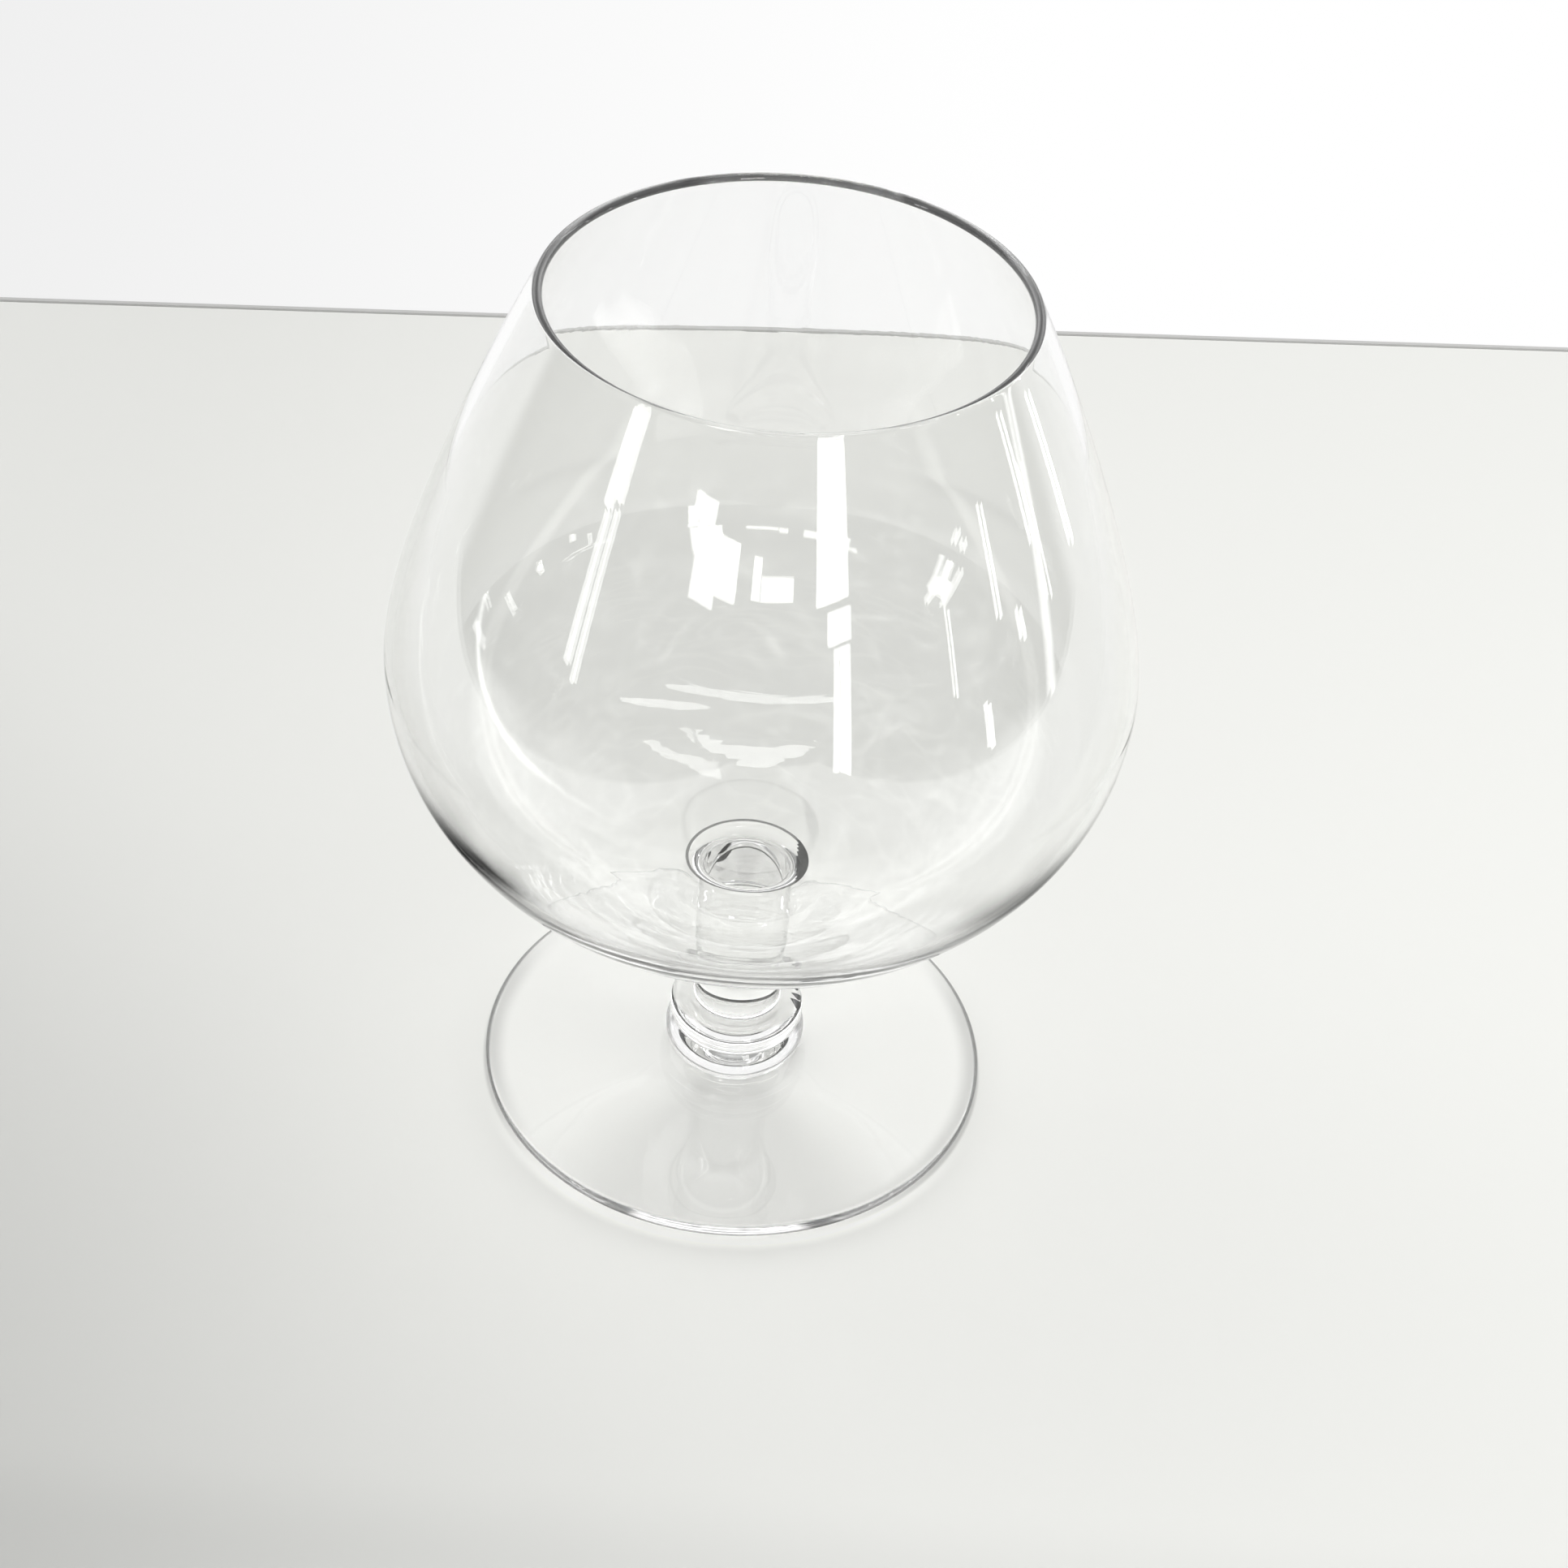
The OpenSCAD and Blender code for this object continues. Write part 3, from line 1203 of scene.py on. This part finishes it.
@dataclass(frozen=True)
class Surroundings:
    """The world: a white wall with a bright band behind the glass, a dim room, a pale ceiling and a glint."""

    wall: float = 1.0
    window: float = 2.1
    window_low: Pair = (0.12, 0.2)
    window_high: Pair = (0.42, 0.52)
    edge: Pair = (0.3, 0.44)
    lit_from: Pair = (-0.15, 0.3)
    room: float = 0.08
    room_above: Pair = (0.25, 0.5)
    ceiling: float = 0.4
    overhead: Pair = (0.82, 0.94)
    glint: float = 5.0
    glint_lean: float = 0.78
    glint_place: float = 0.27
    glint_width: float = 0.04
    glint_side: Pair = (0.45, 0.7)
    on_floor: float = 0.97
    backdrop_left: float = 0.86
    backdrop_from: Pair = (-0.35, 0.1)
    through_to: Pair = (0.2, 0.4)

    def build(self, scene: bpy.types.Scene) -> None:
        """Makes the world.

        Args:
            scene: The scene that takes it.
        """
        world = bpy.data.worlds.new("surroundings")
        world.use_nodes = True
        # The glass bends this light on its way to the table, so no straight shortcut to it is sampled
        world.cycles.sampling_method = "NONE"
        scene.world = world
        recipe = Recipe(world.node_tree)
        across, ahead, up = recipe.axes(recipe.node("TexCoord").outputs["Generated"])
        on_table = recipe.is_ray(Ray.DIFFUSE)
        # The table is lit by all that lies ahead, and the glass mirrors the wall between its two ends
        behind_glass = on_table * recipe.ramp(ahead, *self.lit_from)
        behind_glass = behind_glass + (1 - on_table) * recipe.ramp(ahead, *self.edge)
        window = recipe.ramp(up, *self.window_low) * recipe.ramp(up, *self.window_high, 1.0, 0.0)
        overhead = recipe.ramp(up, *self.overhead)
        wall = self.wall + window * (self.window - self.wall) + overhead * (self.ceiling - self.wall)
        room = self.room + (self.ceiling - self.room) * recipe.ramp(up, *self.room_above)
        seen = behind_glass * wall + (1 - behind_glass) * room
        direct = recipe.is_ray(Ray.CAMERA)
        shielded = recipe.ramp(on_table, 0.0, 1.0, 1.0, self.on_floor)
        off_glint = recipe.maths("ABSOLUTE", ahead - self.glint_lean * up - self.glint_place)
        glint = recipe.ramp(off_glint, 0.0, self.glint_width, 1.0, 0.0)
        glint = glint * recipe.ramp(across, *self.glint_side)
        seen = seen + self.glint * glint * (1 - on_table)
        # Painted shade: the backdrop darkens towards the left
        backdrop = recipe.ramp(across, *self.backdrop_from, self.backdrop_left, 1.0)
        # Seen straight through the glass the backdrop looks as it does beside it
        through = recipe.straight_on() * recipe.ramp(up, *self.through_to, 1.0, 0.0)
        plain = recipe.maths("MAXIMUM", direct, through)
        strength = plain * backdrop + (1 - plain) * seen * shielded
        light = recipe.node("Background", None, {"Color": (1, 1, 1, 1), "Strength": strength})
        recipe.node("OutputWorld", None, {"Surface": light.outputs[0]})


@dataclass(frozen=True)
class Camera:
    """The photograph's viewpoint, fitted to the rim, the foot and the outline of the glass."""

    distance: float = 0.2689
    height: float = 0.2731
    pitch: float = 39.967
    yaw: float = 0.826
    roll: float = -4.891
    lens: float = 64.70
    sensor: float = 36.0
    clip: Pair = (0.01, 20.0)

    def build(self, scene: bpy.types.Scene) -> Object:
        """Adds the camera and makes it the scene's own.

        Args:
            scene: The scene.

        Returns:
            The camera's object.
        """
        pitch, yaw, roll = (math.radians(angle) for angle in (self.pitch, self.yaw, self.roll))
        ahead = Vector((
            math.sin(yaw) * math.cos(pitch),
            math.cos(yaw) * math.cos(pitch),
            -math.sin(pitch),
        ))
        level = ahead.cross(Vector((0, 0, 1))).normalized()
        down = ahead.cross(level)
        across = math.cos(roll) * level + math.sin(roll) * down
        below = -math.sin(roll) * level + math.cos(roll) * down
        data = bpy.data.cameras.new("viewpoint")
        data.lens = self.lens
        data.sensor_width = self.sensor
        data.clip_start, data.clip_end = self.clip
        placed = bpy.data.objects.new("viewpoint", data)
        scene.collection.objects.link(placed)
        placed.matrix_world = Matrix.Translation((0, -self.distance, self.height)) @ Matrix(
            (across, -below, -ahead)
        ).transposed().to_4x4()
        scene.camera = placed
        return placed


@dataclass(frozen=True)
class Studio:
    """Floor, lamps, surroundings and camera."""

    aim: Vector
    # Each has its azimuth, lowest and highest angle and breadth in degrees, its radiance, and its distance in
    # metres where that is not the usual one
    softboxes: tuple[Softbox, ...] = (
        Softbox("side", 95, 28, 52, 24, 4.0, 0.6, lights_floor=True, shows_in_glass=False),
        Softbox("key", 180, 37.75, 38.25, 0.5, 13500.0, 3.0, lights_floor=True, shows_in_glass=False),
        Softbox("front_window_top", 159.2, 9.2, 23, 9.1, 8.0),
        Softbox("front_window_top_edge", 153.9, 9.2, 23, 1.1, 8.0),
        Softbox("front_window_middle", 156.4, 6.5, 8.6, 7.2, 8.0),
        Softbox("front_window_low", 154.6, -8.0, 6.2, 3.0, 8.0),
        Softbox("front_window_low_edge", 157.2, -7.6, 6.2, 1.5, 8.0),
        Softbox("left_window_outer_top", -123.0, 8.8, 17, 3.4, 7.0),
        Softbox("left_window_inner_top", -119.7, 7.5, 17, 3.2, 7.0),
        Softbox("left_window_outer", -124.0, -3.0, 8.3, 1.6, 6.0),
        Softbox("left_window_inner", -120.7, -2.3, 7.4, 2.1, 6.0),
        Softbox("right_bar_high", 121.8, 4.7, 5.15, 10.7, 5.5),
        Softbox("right_bar_high_end", 113.0, 5.35, 5.8, 3.2, 5.5),
        Softbox("right_bar_low", 117.4, 3.35, 3.8, 9.0, 5.5),
        Softbox("right_bar_low_end", 110.7, 4.2, 4.75, 2.0, 5.5),
        Softbox("right_slit", 120.3, -2.8, 3.0, 0.8, 8.0),
        Softbox("far_right_slit", 101.6, -2.45, 4.3, 1.2, 8.0),
        Softbox("far_right_slit_low", 112.5, -7.4, -3.4, 1.6, 8.0, 0.38),
        Softbox("far_right_spot", 97.7, -1.8, 0.5, 1.5, 7.0, 0.28),
        Softbox("right_edge_line", 84.8, -0.8, 9.0, 1.4, 7.0, 0.37),
        Softbox("right_edge_line_far", 67.5, -6.3, 5.0, 1.6, 6.0, 0.27),
        Softbox("edge_slit", 79.5, -8.5, -1, 1.0, 5.0),
        Softbox("pane_left_top", -155.5, 13.4, 15.2, 8, 6.0),
        Softbox("pane_left", -162.0, 9.4, 13.3, 15, 6.0),
        Softbox("pane_left_low", -158.5, 8.5, 9.4, 8, 6.0),
        Softbox("pane_middle_low", 176.8, 9.9, 11.4, 10.5, 6.0),
        Softbox("pane_middle_top", -176.2, 9.9, 12.6, 2.8, 6.0),
    )
    tubes: tuple[CeilingTube, ...] = (
        CeilingTube("tube_over_glass", (0.03, 0.065), (0.68, 0.07), 0),
        CeilingTube("tube_right", (0.36, 0.19), (0.40, 0.055), 10),
    )

    def build(self) -> None:
        """Builds the studio around the glass."""
        scene = bpy.context.scene
        Camera().build(scene)
        Table().build()
        Surroundings().build(scene)
        for lamp in (*self.softboxes, *self.tubes):
            lamp.build(self.aim)
        scene.view_settings.view_transform = "Standard"
        # Light that enters a wall or a rim of glass is turned many times before it comes out
        scene.cycles.max_bounces = 200
        scene.cycles.transmission_bounces = 200
        scene.cycles.glossy_bounces = 200
        scene.cycles.transparent_max_bounces = 48


def main() -> None:
    """Builds the glass from the foot up, then the studio, and logs what it builds."""
    logging.basicConfig(level=logging.INFO, format="%(message)s")
    lathe = Lathe()
    clear = (0.972, 0.974, 0.969)
    thin = ClearGlass(clear)
    solid = ClearGlass(
        clear, bottom_mark_height=2e-6, dims_from=(11, 38), bottom_dim_share=0.15,
        edge_from=(0.6, 0.9), edge_share=0.5, has_cords=False,
    )
    plate = ClearGlass(
        (0.995, 0.995, 0.995), bottom_mark_height=7e-7, dims_from=(9, 26), dim_share=0.15,
        bottom_dim_share=0.15, edge_from=(0.32, 0.43), edge_share=0.12, edge_radius=(0.0321, 0.0325),
        lets_through=1.13, has_cords=False,
    )
    gathers: tuple[Gather, ...] = (
        Foot("foot", Slot.FOOT, plate),
        Collar("collar", Slot.STEM, solid),
        Stem("stem", Slot.STEM, solid),
        Bowl("bowl", Slot.BOWL, thin),
    )
    for gather in gathers:
        gather.build(lathe)
    belly = Vector((0, 0, 0.0685))
    Studio(belly).build()


if __name__ == "__main__":
    main()
